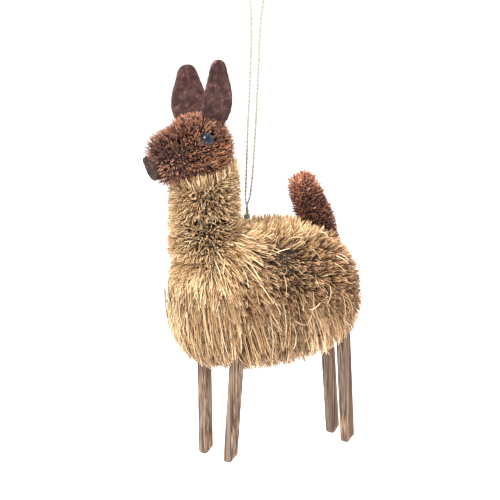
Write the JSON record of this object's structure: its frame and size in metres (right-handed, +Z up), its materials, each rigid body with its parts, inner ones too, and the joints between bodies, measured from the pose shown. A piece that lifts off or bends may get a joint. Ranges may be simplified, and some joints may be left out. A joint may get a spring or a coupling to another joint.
{
  "type": "bristle llama hanging ornament",
  "caption": "Llama-shaped hanging ornament of trimmed plant-fibre bristles on a wooden core, with stick legs, felt ears, bead eyes, a fuzzy tail and a twisted cord loop.",
  "frame": {"origin": "under the middle of the llama, level with the undersides of its feet", "axes": "+Z up, the llama faces -Y, +X towards its own left side"},
  "size_m": [0.039, 0.0762, 0.1595],
  "materials": {
    "straw_bristle": "matte",
    "rust_bristle": "matte",
    "tail_chenille": "matte",
    "ear_felt": "matte",
    "nose_felt": "matte",
    "core_wood": "matte",
    "stick_wood": "matte",
    "eye_bead": "gloss",
    "binding_wire": "satin",
    "cord_twine": "matte"
  },
  "bodies": {
    "llama": {"spine_bar": "core_wood", "front_leg_bar": "core_wood", "rear_leg_bar": "core_wood", "neck_stem": "core_wood", "head_core": "core_wood", "muzzle_peg": "core_wood", "leg_front_left": "stick_wood", "leg_front_right": "stick_wood", "leg_rear_left": "stick_wood", "leg_rear_right": "stick_wood", "chest_fleece": "straw_bristle", "shoulder_fleece": "straw_bristle", "barrel_fleece": "straw_bristle", "rump_fleece": "straw_bristle", "neck_fleece_lower": "straw_bristle", "neck_fleece_upper": "straw_bristle", "head_bristles": "rust_bristle", "muzzle_bristles": "rust_bristle", "nose_pad": "nose_felt", "ear_left": "ear_felt", "ear_right": "ear_felt", "eye_left": "eye_bead", "eye_right": "eye_bead", "eye_pin_left": "binding_wire", "eye_pin_right": "binding_wire", "rear_binding": "binding_wire", "neck_binding": "binding_wire", "tail_stem": "binding_wire", "tail_pile": "tail_chenille", "cord_anchor": "cord_twine"},
    "knot": {"cord_knot": "cord_twine"},
    "loop": {"hanging_loop": "cord_twine"}
  },
  "joints": [
    {"name": "loop_swing", "type": "hinge", "parent": "llama", "child": "knot", "pos_m": [0, -0.0024, 0.07855], "axis": [1, 0, 0], "range_deg": [-38, 10]},
    {"name": "loop_lean", "type": "hinge", "parent": "knot", "child": "loop", "pos_m": [0, -0.0024, 0.07855], "axis": [0, 1, 0], "range_deg": [-60, 60]}
  ]
}
